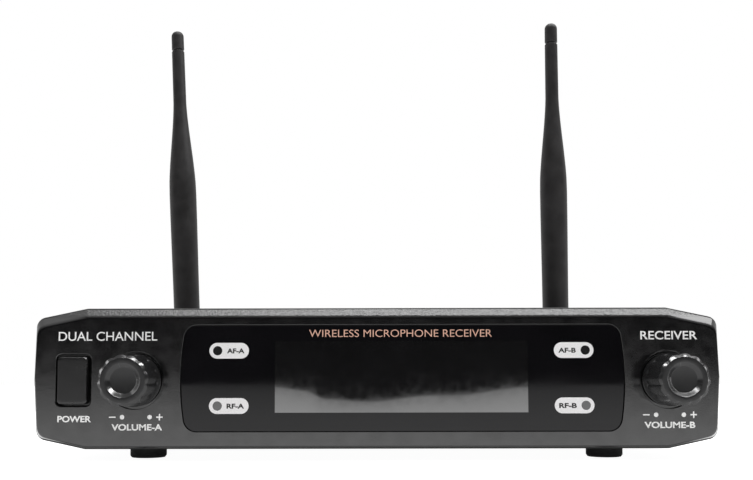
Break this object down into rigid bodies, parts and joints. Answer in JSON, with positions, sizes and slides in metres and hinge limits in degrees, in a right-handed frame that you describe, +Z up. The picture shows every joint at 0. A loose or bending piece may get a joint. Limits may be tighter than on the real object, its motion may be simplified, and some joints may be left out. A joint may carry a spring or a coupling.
{
  "type": "wireless microphone receiver",
  "caption": "Half-rack wireless microphone receiver with display window, volume knobs, power button and folding rear whip antennas.",
  "frame": {"origin": "centre of the whole object's box in X and Y, at the underside of the feet", "axes": "+Z up, front panel faces -Y, +X to the right seen from the front"},
  "size_m": [0.21, 0.1692, 0.1863],
  "materials": {
    "case_plastic": "black ABS moulding with a fine spark-eroded grain",
    "panel_plastic": "black ABS moulding with a coarse satin grain",
    "smoked_acrylic": "polished smoked acrylic, nearly black",
    "lcd_frame_metal": "black painted steel",
    "lcd_glass": "clear display glass, unlit",
    "lcd_backlight": "unlit diffuser",
    "lamp_lens": "clear moulded lamp",
    "knob_plastic": "black satin moulding",
    "button_plastic": "black satin moulding",
    "switch_plastic": "natural nylon",
    "nickel_steel": "nickel plated steel",
    "pot_metal": "zinc-plated can",
    "circuit_board": "green solder mask on glass epoxy",
    "tin_shield": "tinned steel sheet",
    "ribbon_vinyl": "grey vinyl",
    "coax_jacket": "black jacket",
    "screw_steel": "black zinc",
    "board_screw_steel": "bright zinc",
    "rear_steel": "black powder coat on steel sheet",
    "jack_plastic": "black nylon",
    "foot_rubber": "black rubber",
    "antenna_rubber": "matt black elastomer",
    "antenna_joint": "black nylon",
    "bush_brass": "nickel-washed brass",
    "radiator_copper": "copper wire"
  },
  "bodies": {
    "housing": {"antenna_a_bush": "bush_brass", "antenna_a_coax": "coax_jacket", "antenna_a_nut": "bush_brass", "antenna_b_bush": "bush_brass", "antenna_b_coax": "coax_jacket", "antenna_b_nut": "bush_brass", "bottom_case": "case_plastic", "case_screws": "screw_steel", "control_board": "circuit_board", "control_board_screws": "board_screw_steel", "display_backlight": "lcd_backlight", "display_frame": "lcd_frame_metal", "display_glass": "lcd_glass", "foot_front_left": "foot_rubber", "foot_front_right": "foot_rubber", "foot_rear_left": "foot_rubber", "foot_rear_right": "foot_rubber", "front_panel": "panel_plastic", "lamp_audio_a": "lamp_lens", "lamp_audio_b": "lamp_lens", "lamp_signal_a": "lamp_lens", "lamp_signal_b": "lamp_lens", "main_board": "circuit_board", "main_board_screws": "board_screw_steel", "output_jack": "jack_plastic", "output_jack_nut": "nickel_steel", "power_inlet": "jack_plastic", "power_inlet_pin": "nickel_steel", "power_switch_body": "switch_plastic", "rear_panel": "rear_steel", "rear_panel_screws": "screw_steel", "ribbon_cable": "ribbon_vinyl", "ribbon_sockets": "switch_plastic", "top_case": "case_plastic", "tuner_shield_a": "tin_shield", "tuner_shield_b": "tin_shield", "volume_nut_a": "nickel_steel", "volume_nut_b": "nickel_steel", "volume_pot_a": "pot_metal", "volume_pot_b": "pot_metal", "window_lens": "smoked_acrylic"},
    "volume_knob_a": {"volume_knob_a": "knob_plastic", "volume_shaft_a": "nickel_steel"},
    "volume_knob_b": {"volume_knob_b": "knob_plastic", "volume_shaft_b": "nickel_steel"},
    "power_button": {"power_button": "button_plastic", "power_switch_plunger": "switch_plastic"},
    "antenna_a_swivel": {"antenna_a_swivel": "antenna_joint", "antenna_a_hinge_pin": "nickel_steel"},
    "antenna_b_swivel": {"antenna_b_swivel": "antenna_joint", "antenna_b_hinge_pin": "nickel_steel"},
    "antenna_a_whip": {"antenna_a_sleeve": "antenna_rubber", "antenna_a_radiator": "radiator_copper", "antenna_a_tip": "antenna_rubber"},
    "antenna_b_whip": {"antenna_b_sleeve": "antenna_rubber", "antenna_b_radiator": "radiator_copper", "antenna_b_tip": "antenna_rubber"}
  },
  "joints": [
    {"name": "volume_a_turn", "type": "hinge", "parent": "housing", "child": "volume_knob_a", "pos_m": [-0.0733, -0.07709, 0.02435], "axis": [0, 1, 0], "range_deg": [-150, 150]},
    {"name": "volume_b_turn", "type": "hinge", "parent": "housing", "child": "volume_knob_b", "pos_m": [0.0884, -0.07709, 0.02435], "axis": [0, 1, 0], "range_deg": [-150, 150]},
    {"name": "power_press", "type": "slide", "parent": "housing", "child": "power_button", "axis": [0, 1, 0], "range_m": [0, 0.0025], "stiffness_N_per_m": 400},
    {"name": "antenna_a_swivel", "type": "hinge", "parent": "housing", "child": "antenna_a_swivel", "pos_m": [-0.0819, 0.07391, 0.0234], "axis": [0, 1, 0], "range_deg": [-86.9, 72]},
    {"name": "antenna_b_swivel", "type": "hinge", "parent": "housing", "child": "antenna_b_swivel", "pos_m": [0.0819, 0.07391, 0.0234], "axis": [0, 1, 0], "range_deg": [-70, 90.1]},
    {"name": "antenna_a_fold", "type": "hinge", "parent": "antenna_a_swivel", "child": "antenna_a_whip", "pos_m": [-0.0819, 0.07391, 0.0234], "axis": [-0.9985, 0, -0.0541], "range_deg": [-2.8, 87.2]},
    {"name": "antenna_b_fold", "type": "hinge", "parent": "antenna_b_swivel", "child": "antenna_b_whip", "pos_m": [0.0819, 0.07391, 0.0234], "axis": [-1, 0, -0.0017], "range_deg": [0, 90]}
  ]
}
